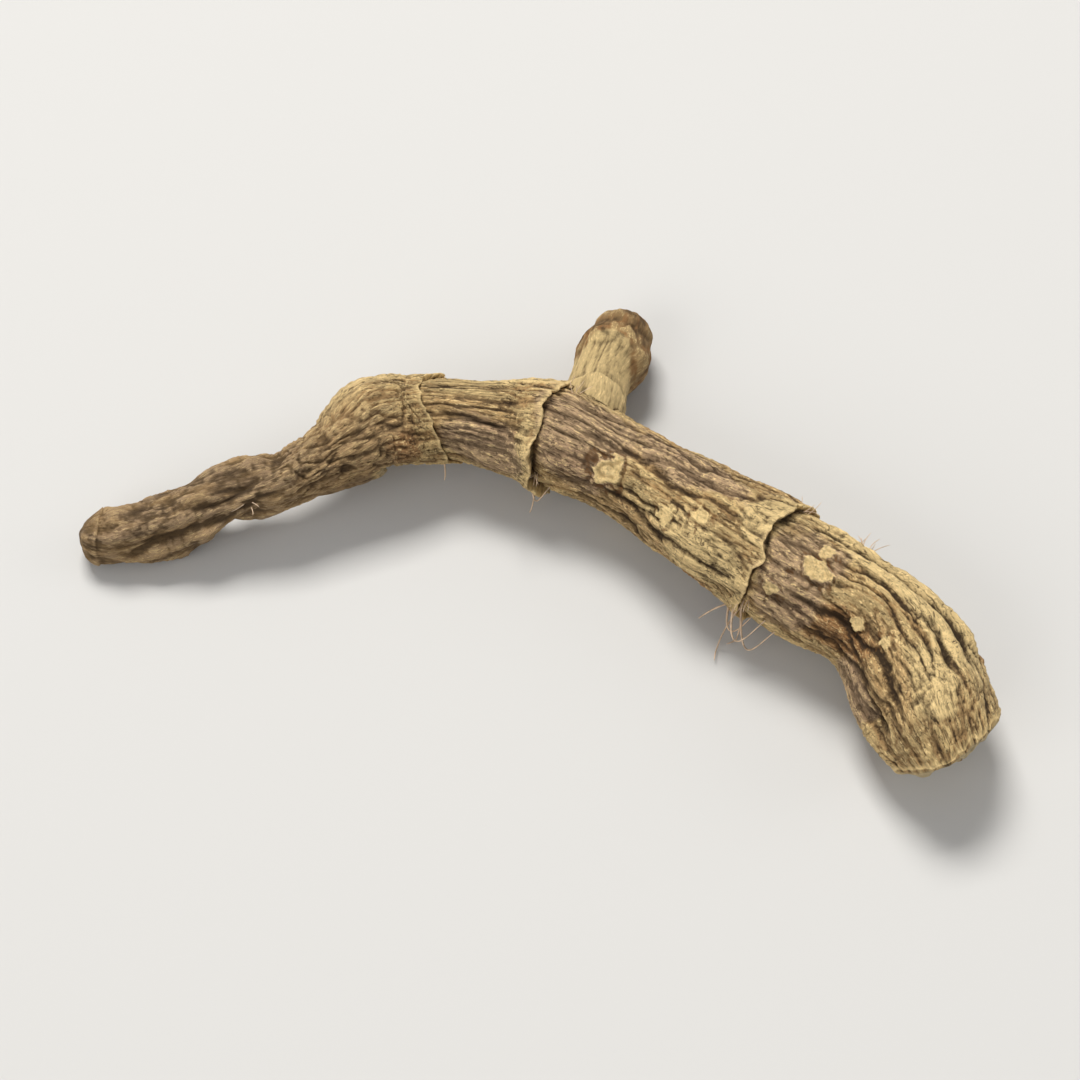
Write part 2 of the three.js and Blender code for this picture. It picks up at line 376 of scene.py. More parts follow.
# Sizes and colours that a user may change.
class RhizomeForm(bpy.types.PropertyGroup):
    """Sizes of the rhizome's skin and roots."""

    grain: FloatProperty(
        name="Mesh grain",
        description="Spacing of the skin's mesh",
        default=0.00027,
        min=0.0002,
        max=0.001,
        precision=5,
        subtype="DISTANCE",
        unit="LENGTH",
    )
    wrinkle_depth: FloatProperty(
        name="Wrinkle depth",
        description="Depth of the drying wrinkles",
        default=0.0005,
        min=0.0,
        max=0.001,
        precision=5,
        subtype="DISTANCE",
        unit="LENGTH",
    )
    wrinkle_width: FloatProperty(
        name="Wrinkle width",
        description="Distance between the larger wrinkles",
        default=0.0017,
        min=0.0005,
        max=0.005,
        precision=5,
        subtype="DISTANCE",
        unit="LENGTH",
    )
    fray: FloatProperty(
        name="Collar fray",
        description="Depth of the fine teeth on a collar's torn edge",
        default=0.0005,
        min=0.0,
        max=0.002,
        precision=5,
        subtype="DISTANCE",
        unit="LENGTH",
    )
    fibre_width: FloatProperty(
        name="Fibre width",
        description="Thickness of a root fibre",
        default=0.0003,
        min=0.00005,
        max=0.001,
        precision=5,
        subtype="DISTANCE",
        unit="LENGTH",
    )
    seed: IntProperty(name="Seed", description="Picks the pattern of wrinkles", default=4, min=0)


class RhizomeColours(bpy.types.PropertyGroup):
    """Colours of the rhizome's skin, roots and broken face."""

    ridge: FloatVectorProperty(
        name="Ridges",
        description="Worn tan on top of the wrinkles",
        subtype="COLOR",
        default=(0.68, 0.48, 0.215),
    )
    hide: FloatVectorProperty(
        name="Skin",
        description="Olive brown between ridge and furrow",
        subtype="COLOR",
        default=(0.34, 0.212, 0.09),
    )
    # Besides the cracks and pits, this colour paints the shade in the furrows, in the hollows and
    # between the bud's scales.
    furrow: FloatVectorProperty(
        name="Furrows",
        description="Dark brown at the bottom of the wrinkles",
        subtype="COLOR",
        default=(0.024, 0.0135, 0.0065),
    )
    dusk: FloatVectorProperty(
        name="Young skin",
        description="Purplish brown of the skin that a collar kept covered",
        subtype="COLOR",
        default=(0.27, 0.18, 0.107),
    )
    russet: FloatVectorProperty(
        name="Russet",
        description="Reddish brown stains",
        subtype="COLOR",
        default=(0.27, 0.12, 0.038),
    )
    cork: FloatVectorProperty(
        name="Cork",
        description="Pale cork of root scars and collar edges",
        subtype="COLOR",
        default=(0.76, 0.565, 0.27),
    )
    pith: FloatVectorProperty(
        name="Pith",
        description="Cream pith of the broken face",
        subtype="COLOR",
        default=(0.76, 0.6, 0.34),
    )
    fibre: FloatVectorProperty(
        name="Fibres",
        description="Straw colour of the root fibres",
        subtype="COLOR",
        default=(0.74, 0.55, 0.38),
    )


def mm(length):
    """A length from the panel, which is in metres, in millimetres."""
    return round(length / MM, 4)


# Curves and noise.
def smooth(low, high, value):
    """Rises from 0 at low to 1 at high without corners."""
    x = np.clip((value - low) / (high - low), 0, 1)
    return x * x * (3 - 2 * x)


def noise_at(x, y, z):
    """Gradient noise, about -0.7 to 0.7, at each point of three like arrays."""
    shape = np.shape(x)
    points = np.stack([np.ravel(x), np.ravel(y), np.ravel(z)], axis=-1)
    values = [noise.noise(point) for point in points.tolist()]
    return np.array(values).reshape(shape)


def skin_noise(along, turn, around_size, along_size, seed):
    """Noise on a stem's skin that closes round it, with its own sizes round and along."""
    radius = NOISE_RADIUS / around_size
    place = along / along_size + 31.7 * seed
    return noise_at(radius * np.cos(turn), radius * np.sin(turn) + 11.3 * seed, place)


def layered_noise(along, turn, seed, *layers):
    """Skin noise summed from layers: each one's strength, sizes round and along, and seed."""
    total = 0.0
    for strength, around_size, along_size, own_seed in layers:
        total = total + strength * skin_noise(along, turn, around_size, along_size, seed + own_seed)
    return total


def torn_edge(ring, turn):
    """How far along the stem a collar's torn edge lies from its place, at each turn."""
    wave = np.sin(3 * turn + ring.at) + 0.6 * np.sin(7 * turn + 2 * ring.at)
    return ring.tilt * np.cos(turn) + ring.jag * wave * 0.6


def shift_along(stem, along, turn):
    """How far the collars move a point along the stem, so that its rows follow their edges."""
    shift = np.zeros(np.broadcast(along, turn).shape)
    for ring in stem.collars:
        near = np.clip(1 - np.abs(along - ring.at) / SHIFT_REACH, 0, 1)
        shift += torn_edge(ring, turn) * near**2 * (3 - 2 * near)
    return shift


def slant_back(stem, across, turn, along):
    """How far a slanting end draws a point back: not at all on its longest side, most opposite."""
    near = np.clip(1 - (stem.length - along) / SLANT_REACH, 0, 1)
    low = (1 - across * np.cos(turn - SLANT_TURN)) / 2
    return stem.slant * low * near**2 * (3 - 2 * near)


def rim_wear(index, turn, form):
    """How much of a collar's lip is left at each turn, from 1 where it is whole to about 0."""
    place = 4.0 * index + 0 * turn
    left = 0.72 + 0.3 * np.cos(turn - 0.8)
    left = left + layered_noise(place, turn, form.seed, (1.1, 3.0, 1.0, 61), (0.5, 1.0, 1.0, 63))
    return np.clip(left, LEAST_LIP, GREATEST_LIP)


def collar_lift(stem, along, turn, stretch, form):
    """The collars' share of the half-width: a flare up to each rim and an undercut behind it."""
    lift = np.zeros(along.shape)
    for i, ring in enumerate(stem.collars):
        past = along - ring.at
        flare = np.exp(np.minimum(past, 0) / FLARE_REACH)
        undercut = -HOLLOW * np.exp(-np.maximum(past, 0) / HOLLOW_REACH)
        lift += ring.lip * rim_wear(i, turn[:1], form) * np.where(stretch <= i, flare, undercut)
    return lift


# The relief of the skin.
def rib_lift(stem, along, turn, stretch):
    """The blunt ribs that run along each stretch of the stem, wandering a little."""
    wander = 0.9 * np.sin(along / 5.2 + 2.3 * stretch) + 0.5 * np.sin(along / 2.3 + 2 * turn)
    wave = np.abs(np.sin(stem.ribs * turn / 2 + wander * 0.7 + 1.9 * stretch))
    uneven = 0.75 + 0.25 * np.sin(2 * turn + along / 4)
    return stem.rib_height * uneven * (wave - 0.64)


def apart(turn, degrees):
    """How far round a stem a turn is from one in degrees, the shorter way."""
    gap = turn - np.radians(degrees)
    return np.arctan2(np.sin(gap), np.cos(gap))


def knob_lift(stem, along, turn, half):
    """The lumps and hollows of the stem."""
    lift = np.zeros(turn.shape)
    for k in stem.knobs:
        round_ = apart(turn, k.turn) * half
        lift += k.height * np.exp(-(((along - k.at) / k.along) ** 2) - (round_ / k.around) ** 2)
    return lift


def blurred(field, rows, columns):
    """The field averaged over a patch of rows and columns. It closes round the stem."""
    total = np.zeros(field.shape)
    for shift in range(-columns, columns + 1):
        total += np.roll(field, shift, axis=1)
    total /= 2 * columns + 1
    padded = np.pad(total, ((rows, rows), (0, 0)), mode="edge")
    size = 2 * rows + 1
    return sum(padded[i : i + len(field)] for i in range(size)) / size


@dataclass
class Row:
    """One ring of a stem's mesh: where it lies, and how far a collar's lip and fray move it."""

    along: float
    stretch: int
    across: float = 1.0
    fray: float = 0.0
    rim: float = 0.0
    hidden: float = 0.0
    lip: object = None


@dataclass
class Lip:
    """A row's place on a collar's lip: its lift, how deep and how far in it is, and its order."""

    collar: int
    lift: float
    sink: float = 0.0
    pull: float = 0.0
    order: float = 0.0


def stem_rows(stem, grain):
    """Rings at the mesh's grain, from the pole of the tip to the pole of the far end."""
    rows = []
    tip_rings = max(4, int(stem.tip * 1.6 / grain))
    for i in range(tip_rings):
        turn = i / tip_rings * np.pi / 2
        rows.append(Row(stem.tip * (1 - np.cos(turn)), 0, across=np.sin(turn)))
    start = stem.tip
    sheltered = 0.0
    for k, ring in enumerate(stem.collars + [None]):
        end = ring.at if ring else stem.length
        count = max(2, int((end - start) / grain))
        torn = stem.broken if ring is None else ring.lip >= OVERHANGING
        for i in range(count + (ring is None)):
            along = start + (end - start) * i / count
            rim = torn * np.exp((along - end) / RIM_FADE)
            fray = torn * np.exp((along - end) / FRAY_FADE)
            hidden = sheltered * np.exp((start - along) / SHELTER_FADE)
            if ring:
                hidden += RIM_CALM * rim
            rows.append(Row(along, k, fray=fray, rim=rim, hidden=hidden))
        if ring is None:
            break
        if ring.lip < OVERHANGING:
            start = end + 0.12
            sheltered = 0.0
            continue
        rows += lip_rows(ring, k, grain)
        start = end
        sheltered = SHELTER
    face_rings = max(6, int(stem.half(stem.length) * 1.25 / grain))
    for i in range(1, face_rings + 1):
        across = 1 - (i / face_rings) ** 1.6
        fray = stem.broken * across * np.exp(-i / 2.0)
        rows.append(Row(stem.length, len(stem.collars), across=across, fray=fray))
    return rows


def lip_rows(ring, k, grain):
    """Rings over a collar's thick lip, back along its underside and out again on the stem below."""
    thick = 0.14 + 0.16 * ring.lip
    under = 0.15 + 0.4 * ring.lip
    floor = -HOLLOW * ring.lip
    deepest = thick + 0.12
    rows = []
    for out, drop in LIP_ROUND:
        lip = Lip(k, ring.lip, sink=thick * drop)
        rows.append(Row(ring.at + out * ring.lip, k, fray=1.0, rim=1.0, hidden=RIM_CALM, lip=lip))
    for i in range(1, UNDER_STEPS + 1):
        part = i / UNDER_STEPS
        lift = ring.lip * (1 - part) + floor * part
        lip = Lip(k, lift, sink=thick + (deepest - thick) * part, pull=under * part)
        rows.append(Row(ring.at, k, fray=1.0 - part, hidden=RIM_CALM + 0.2 * part, lip=lip))
    inner = max(2, int(under / grain))
    for i in range(1, inner):
        deep = 1 - i / inner
        lip = Lip(k, floor, sink=deepest * deep, pull=under * deep)
        rows.append(Row(ring.at, k + 1, hidden=SHELTER * (1 + deep), lip=lip))
    for i, row in enumerate(rows):
        row.lip.order = (i + 1) / (len(rows) + 1)
    return rows


def furrows(along, turn, width, length, seed, sharpness):
    """Furrows of drying, from 0 on the ridges between them to 1 at the bottom of each."""
    return np.exp(-np.abs(skin_noise(along, turn, width, length, seed)) / sharpness)


def wrinkle_lift(stem, along, turn, stretch, half, form):
    """Drying wrinkles, and how far up its ridge each point lies, from 0 in a furrow to 1."""
    seed = form.seed + 3 * stretch
    width = mm(form.wrinkle_width)
    size = np.clip(half / 6.0, 0.55, 1.1) * stem.furrowed
    sway = layered_noise(along, turn, seed, (1.0, 3.0, 7.0, 1), (0.3, 1.2, 2.2, 2))
    swayed = turn + sway / half
    coarse = furrows(along, swayed, width * 0.75, width * 8.0, seed + 3, 0.09)
    medium = furrows(along, swayed, width * 0.4, width * 4.0, seed + 5, 0.12)
    fine = furrows(along, swayed, width * 0.22, width * 1.8, seed + 7, 0.15)
    worn = skin_noise(along, turn, 5.0, 9.0, seed + 9)
    deep = np.clip(0.75 + 0.9 * worn + 0.25 * np.cos(turn + 0.9), 0.2, 1.3)
    lift = 0.3 - coarse * deep + 0.45 * (0.38 - medium) * (0.6 + 0.4 * deep) + 0.2 * (0.4 - fine)
    ridge = 1 - np.clip(0.8 * coarse * deep + 0.5 * medium + 0.25 * fine - 0.1, 0, 1)
    return mm(form.wrinkle_depth) * size * lift, ridge


def crease_lift(stem, along, turn, half, form):
    """The long creases, each wavering round its line and fading out at its ends."""
    lift = np.zeros(turn.shape)
    if stem is not MAIN:
        return lift
    waver = 1.3 * skin_noise(along, 0 * turn, 3.0, 4.5, form.seed + 51)
    waver += 0.35 * skin_noise(along, turn, 1.5, 1.4, form.seed + 52)
    for c in CREASES:
        part = (along - c.start) / (c.end - c.start)
        centre = c.start_turn + (c.end_turn - c.start_turn) * part
        round_ = apart(turn, centre) * half + waver
        shown = smooth(0.0, 0.12, part) * (1 - smooth(0.85, 1.0, part))
        lift -= shown * c.depth * np.exp(-((round_ / c.width) ** 2))
    return lift


def crumpled_share(stem, along):
    """1 where the main stem bends sharply and its skin is crumpled, and 0 elsewhere."""
    if stem is not MAIN:
        return 0 * along
    share = smooth(CRUMPLED_FROM - 3, CRUMPLED_FROM + 2, along)
    return share * (1 - smooth(CRUMPLED_TO - 3, CRUMPLED_TO + 2, along))


def tail_share(stem, along):
    """1 on the main stem's thin old tail and 0 past it."""
    if stem is not MAIN:
        return 0 * along
    return 1 - smooth(TAIL_END - 6, TAIL_END + 4, along)


def mouth_share(stem, along):
    """1 beside the main stem's broken end, where the skin is scaly, and 0 far from it."""
    return (1 - smooth(4, 16, stem.length - along)) * (stem is MAIN)


def lumps(stem, along, turn, half, form):
    """The crumpled bend, the knobbly tail and the grainy surface of the bark."""
    crumpled = crumpled_share(stem, along)
    tail = tail_share(stem, along)
    bend = skin_noise(along, turn, 2.6, 3.4, form.seed + 20)
    folds = 0.35 - furrows(along + 2.4 * bend, turn + 0.3 * bend, 1.3, 3.2, form.seed + 21, 0.1)
    swell = skin_noise(along, turn, 5.5, 6.5, form.seed + 23)
    grit = skin_noise(along, turn, 0.55, 0.6, form.seed + 25)
    knobbly = layered_noise(along, turn, form.seed, (1.0, 4.6, 6.5, 27), (0.3, 1.9, 2.6, 28))
    cross = 0.3 - furrows(along, turn, 2.4, 0.9, form.seed + 29, 0.1)
    scaly = 0.35 - furrows(along + 1.6 * bend, turn, 1.9, 2.6, form.seed + 45, 0.09)
    return stem.furrowed * (
        0.5 * crumpled * folds
        + 0.55 * swell * np.clip(half / 6, 0.5, 1)
        + 0.1 * grit
        + 1.5 * tail * knobbly
        + (0.1 + 0.1 * crumpled) * cross
        + 0.15 * mouth_share(stem, along) * scaly
    )


def bud_share(along, turn):
    """1 on the side shoot's bud and 0 on its neck, which reaches up into the bud in a tongue."""
    tongue = 3.2 * np.exp(-((apart(turn, SHOOT_TONGUE) / 0.5) ** 2))
    edge = SHOOT_NECK_END - 0.6 + tongue + 0.9 * np.sin(3 * turn + 1.0)
    return smooth(-0.6, 0.7, along - edge)


def peeled_share(stem, along, turn, form):
    """Patches where the thin outer bark has flaked off, from 0 where it is kept to 1."""
    field = layered_noise(along, turn, form.seed, (1.0, 4.2, 8.5, 41), (0.35, 1.1, 2.6, 43))
    return smooth(0.1, 0.15, field) * stem.furrowed


def scar_relief(scars, along, turn, half, seed):
    """Each scar's lift over the skin, how far it covers the skin, and how dark its rings are: the
    groove's ring partly the scar's own brown and partly painted shade, the moat's ring painted
    shadow.
    """
    lift = np.zeros(turn.shape)
    cover = np.zeros(turn.shape)
    rings = np.zeros(turn.shape)
    for i, scar in enumerate(scars):
        ahead = (along - scar.at) / 1.15
        round_ = apart(turn, scar.turn) * half
        near = np.hypot(ahead, round_) < scar.radius * 2.4
        if not near.any():
            continue
        x, y = ahead[near] / scar.radius, round_[near] / scar.radius
        wobble = noise_at(x * 1.1, y * 1.1, np.full(x.shape, 5.1 * i + seed))
        wobble = wobble + 0.4 * noise_at(x * 2.7, y * 2.7, np.full(x.shape, 3.7 * i + seed))
        far = np.hypot(x, y) * (1 + 0.65 * wobble)
        # The rim stands highest on one side, where the root tore off last.
        torn = 0.5 + 0.5 * np.cos(np.arctan2(y, x) - 2.4 * i)
        pad = 1 - smooth(0.75, 1.15, far)
        rim = np.exp(-(((far - 0.84) / 0.16) ** 2)) * (0.35 + 0.65 * torn)
        moat = np.exp(-(((far - 1.3) / 0.2) ** 2))
        groove = np.exp(-(((far - 0.5) / 0.13) ** 2)) * (1.0 - 0.3 * torn)
        crumb = noise_at(x * 3.1, y * 3.1, np.full(x.shape, 2.3 * i + seed)) * pad
        size = scar.radius / 1.3
        lift[near] += size * (0.08 * pad + 0.26 * rim - 0.2 * moat - 0.18 * groove + 0.24 * crumb)
        cover[near] = np.maximum(cover[near], pad)
        # Dark rings: in the groove partly the scar's own brown and partly painted shade, in the
        # moat painted shadow.
        rings[near] = np.maximum(rings[near], np.maximum(0.6 * groove, 0.85 * moat))
    return lift, cover, rings


def fray_teeth(stem, turn, stretch, form):
    """Fine teeth and a few deep notches of the torn edge that ends each stretch."""
    seed = form.seed + 13 * stretch
    teeth = skin_noise(0 * turn + 3.3 * stretch, turn, 1.6, 1.0, seed + 31)
    comb = skin_noise(0 * turn + 1.7 * stretch, turn, 0.5, 1.0, seed + 33)
    notch = np.clip(skin_noise(0 * turn, turn, 2.2, 1.0, seed + 35) - 0.22, 0, 1)
    return mm(form.fray) * (1.5 * teeth + 0.6 * comb - 4.0 * notch)


def lay_lips(stem, rows, along, turn, lip_lift, fray, form):
    """Lays the rows of each lip round its gap, or side by side where wear has shut the gap."""
    for i, row in enumerate(rows):
        if row.stretch < len(stem.collars) and row.fray > 0.001:
            fray[i] *= smooth(GAP_SHUT, GAP_OPEN, rim_wear(row.stretch, turn[i], form))
        if row.lip:
            lip = row.lip
            ring = stem.collars[lip.collar]
            left = rim_wear(lip.collar, turn[i], form)
            gap = smooth(GAP_SHUT, GAP_OPEN, left)
            worn = ring.lip * (1 - (1 + HOLLOW) * lip.order) * left
            lip_lift[i] = worn + gap * (lip.lift * left - lip.sink - worn)
            beside = ring.at - WORN_LIP_LENGTH * (1 - lip.order)
            along[i] = beside + gap * (row.along - lip.pull - beside)


def axes_at(stem, along):
    """The directions ahead, to the side and to the top at places along a stem."""
    ahead = stem.sample(stem.ahead, along)
    ahead /= np.linalg.norm(ahead, axis=-1, keepdims=True)
    side = np.cross(ahead, UP)
    side /= np.linalg.norm(side, axis=-1, keepdims=True)
    return ahead, side, np.cross(side, ahead)


def face_relief(stem, x, y, across, turn):
    """How far the end face stands out: a dome with a sunk middle, made rough by crumbs and pits."""
    out = np.sqrt(np.clip(1 - across**2.4, 0, 1)) * stem.dome
    out = out - stem.dimple * np.exp(-((across / 0.45) ** 2)) * (across < 1)
    out = out + 0.25 * (1 - across) * across * np.sin(4 * turn)
    crumb = 0.3 * noise_at(x / 0.9, y / 0.9, 0 * x + 7.7)
    crumb += 0.7 * noise_at(x / 2.6, y / 2.6, 0 * x + 2.2)
    pit = np.clip(noise_at(x / 0.5, y / 0.5, 0 * x + 4.4) - 0.25, 0, 1) * 0.9
    return out + (crumb - pit) * smooth(0, 0.25, 1 - across) * (1.0 if stem.broken else 0.15)


def stem_surface(stem, form, columns, scars):
    """The stem's points as rows by columns, with what the material reads at each."""
    rows = stem_rows(stem, mm(form.grain))
    even = np.linspace(-np.pi, np.pi, columns + 1)[None, :]
    turn = even - COLUMN_SHIFT * np.sin(even)
    along, across, stretch, frayed, rim, hidden = (
        np.array([getattr(row, key) for row in rows])[:, None]
        for key in ("along", "across", "stretch", "fray", "rim", "hidden")
    )
    along, turn = (grid.copy() for grid in np.broadcast_arrays(along, turn))
    lip_lift = collar_lift(stem, along, turn, stretch, form)
    fray = frayed * fray_teeth(stem, turn, stretch, form)
    lay_lips(stem, rows, along, turn, lip_lift, fray, form)
    # Where each point lies along the stem, once torn edges and the slanting end have moved it.
    torn = across * shift_along(stem, along, turn) + fray
    back = slant_back(stem, across, turn, along)
    moved = np.clip(along + torn - back, 0, stem.length)
    half = stem.half(moved)
    slender = np.minimum(1, half / 5)
    wrinkles, ridge = wrinkle_lift(stem, along, turn, stretch, half, form)
    crease = crease_lift(stem, along, turn, half, form)
    ridge = np.clip(ridge + 1.3 * crease, 0, 1)
    rib = rib_lift(stem, along, turn, stretch)
    scar, cover, rings = scar_relief(scars, along, turn, half, form.seed)
    peeled = peeled_share(stem, along, turn, form)
    tail = tail_share(stem, along)
    dusk = tone(stem, DUSKY_PATCHES, along, turn, half)
    mouth = mouth_share(stem, along)
    calm = 1 - 0.4 * crumpled_share(stem, along) - 0.85 * tail - 0.4 * dusk - 0.35 * mouth
    shown = 1 - hidden
    relief = shown * (1 - 0.85 * cover) * (
        calm * wrinkles + crease + 0.8 * slender * (1 - 0.6 * tail) * rib - 0.13 * peeled
    )
    relief = relief + scar + shown * lumps(stem, along, turn, half, form) * (1 - 0.6 * cover)
    relief = across**2 * (relief + knob_lift(stem, along, turn, half))
    ridge = 0.55 + across * (ridge - 0.55)
    reach = across * (half + lip_lift + relief)
    # The points themselves: round the stem, out on its end face, and never under the floor.
    ahead, side, top = axes_at(stem, moved)
    points = stem.sample(stem.line[:, :3], moved)
    points += side * (reach * np.sin(turn))[..., None]
    points += top * (reach * FLATNESS * np.cos(turn))[..., None]
    face = (along >= stem.length - 1e-6) & (across < 1)
    x, y = across * half * np.sin(turn), across * half * np.cos(turn)
    points += ahead * (face_relief(stem, x, y, across, turn) * face)[..., None]
    points, lumpy, lump = lumpy_end(stem, points, moved, across)
    ridge = ridge + lumpy * (lump - ridge)
    points[..., 2] = np.maximum(points[..., 2], 0)
    # How far each point stands out over the skin close round it, and over more of the skin. The
    # material paints shade where a point lies low in these, and lighter wear where it stands out.
    bulge = lip_lift + relief
    near = bulge - blurred(bulge, 3, 3)
    wide = bulge - blurred(bulge, 10, 9)
    standing = np.clip(0.5 + near / 0.2 + wide / 1.2, 0, 1)
    furrowed = np.maximum(lumpy, 0.5 - 0.38 * tail - 0.15 * mouth)
    reads = {
        # ridge: lighter on the worn crests, and low in the furrows, where the material paints shade
        "ridge": standing * (1 - furrowed) + ridge * furrowed,
        # hollow: painted shade in the wide hollows, such as under the collars' lips, along the
        # creases and round the scars
        "hollow": np.clip((-wide - 0.1) / 0.6, 0, 1),
        "peeled": peeled,
        "scar": cover,
        "scar_ring_and_shadow": rings,
        "rim": rim + 0 * turn,
        "pale": tone(stem, PALE_PATCHES, along, turn, half),
        "dusk": dusk,
        "brown": tone(stem, BROWN_PATCHES, along, turn, half),
        "russet": tone(stem, RUSSET_PATCHES, along, turn, half),
        "pith": np.where(face, stem.broken * smooth(0.0, 0.06, 1 - across), 0.0),
        "core": np.where(face, across + 0.12 * noise_at(x / 1.8, y / 1.8, 0 * x + 9.1), 0.0),
    }
    return points, reads, along, across, turn


def lumpy_end(stem, points, along, across):
    """Puts small lumps all over a rounded end, where furrows would meet in a star."""
    if stem is SHOOT:
        centre = stem.length - 3.0
        share = smooth(stem.length - 6.0, stem.length - 3.5, along)
    else:
        centre = stem.tip
        share = (along < stem.tip) * (1 - smooth(0.6, 1.0, across))
    out = points - stem.sample(stem.line[:, :3], centre)
    out /= np.linalg.norm(out, axis=-1, keepdims=True)
    x, y, z = np.moveaxis(points, -1, 0)
    lump = noise_at(x / 1.5, y / 2.4, z / 1.5) + 0.5 * noise_at(x / 0.6, y / 1.0, z / 0.6)
    crack = np.exp(-np.abs(noise_at(x / 1.9, y / 3.4, z / 1.9 + 9.0)) / 0.06)
    points = points + out * (share * (0.22 * lump - 0.12 * crack))[..., None]
    return points, share, np.clip(0.55 + 0.9 * lump - 0.5 * crack, 0, 1)


def tone(stem, patches, along, turn, half):
    """How much of a tone shows at each point of the main stem."""
    share = np.zeros(along.shape)
    if stem is MAIN:
        for p in patches:
            round_ = apart(turn, p.turn) * half
            near = np.exp(-(((along - p.at) / p.along) ** 2) - (round_ / p.around) ** 2)
            share = np.maximum(share, near)
    return share


# The names of what the material reads at each point of the skin.
READS = (
    "ridge", "hollow", "peeled", "scar", "scar_ring_and_shadow", "rim",
    "pale", "dusk", "brown", "russet", "pith", "core", "bud", "neck", "tail",
)


def skin_mesh(name, points, reads, grain_place):
    """A grid that is wrapped round the stem's points, with its seam and its poles closed."""
    rows, columns = points.shape[:2]
    bm = bmesh.new()
    layer_of = bm.verts.layers.float
    for key in READS:
        layer_of.new(key)
    bm.verts.layers.float_vector.new("grain")
    layers = {key: layer_of[key] for key in READS}
    place = bm.verts.layers.float_vector["grain"]
    grid = bmesh.ops.create_grid(bm, x_segments=rows - 1, y_segments=columns - 1, size=0.5)
    for vert in grid["verts"]:
        i = round((vert.co.x + 0.5) * (rows - 1))
        j = round((vert.co.y + 0.5) * (columns - 1))
        vert.co = points[i, j] * MM
        vert[place] = grain_place[i, j]
        for key, layer in layers.items():
            if key in reads:
                vert[layer] = reads[key][i, j]
    bmesh.ops.remove_doubles(bm, verts=bm.verts, dist=1e-7)
    bmesh.ops.dissolve_degenerate(bm, edges=bm.edges, dist=1e-7)
    bmesh.ops.recalc_face_normals(bm, faces=bm.faces)
    for face in bm.faces:
        face.smooth = True
    mesh = bpy.data.meshes.new(name)
    bm.to_mesh(mesh)
    bm.free()
    return mesh


def old_tail(along, turn):
    """The main stem's own attribute: how old its skin is, from the tail on."""
    return {"tail": 1 - smooth(*OLD_SKIN_ENDS, along)}


def neck_and_bud(along, turn):
    """The side shoot's own attributes: its pale neck and its brown bud."""
    bud = bud_share(along, turn)
    return {"bud": bud, "neck": 1 - bud}


def all_old(along, turn):
    """The root stump's own attribute: its skin is old all over."""
    return {"tail": 1 + 0 * along}


def stem_object(name, stem, form, scars, extra, bark):
    """A stem's closed skin as an object, with extra attributes for the material."""
    columns = int(2 * np.pi * stem.gauge / mm(form.grain))
    points, reads, along, across, turn = stem_surface(stem, form, columns, scars)
    points = points - FORM_MIDDLE
    reads.update(extra(along, turn))
    round_ = NOISE_RADIUS * across
    grain_place = np.stack([round_ * np.cos(turn), round_ * np.sin(turn), along], axis=-1)
    piece = bpy.data.objects.new(name, skin_mesh(name, points, reads, grain_place))
    piece.data.materials.append(bark)
    bpy.context.scene.collection.objects.link(piece)
    return piece


def fuse(piece, others):
    """Joins the other closed meshes to the piece in one closed skin."""
    for other in others:
        union = piece.modifiers.new("fuse", "BOOLEAN")
        union.operation = "UNION"
        union.solver = "MANIFOLD"
        union.object = other
    graph = bpy.context.evaluated_depsgraph_get()
    mesh = bpy.data.meshes.new_from_object(piece.evaluated_get(graph))
    piece.modifiers.clear()
    piece.data = mesh
    for other in others:
        bpy.data.objects.remove(other)


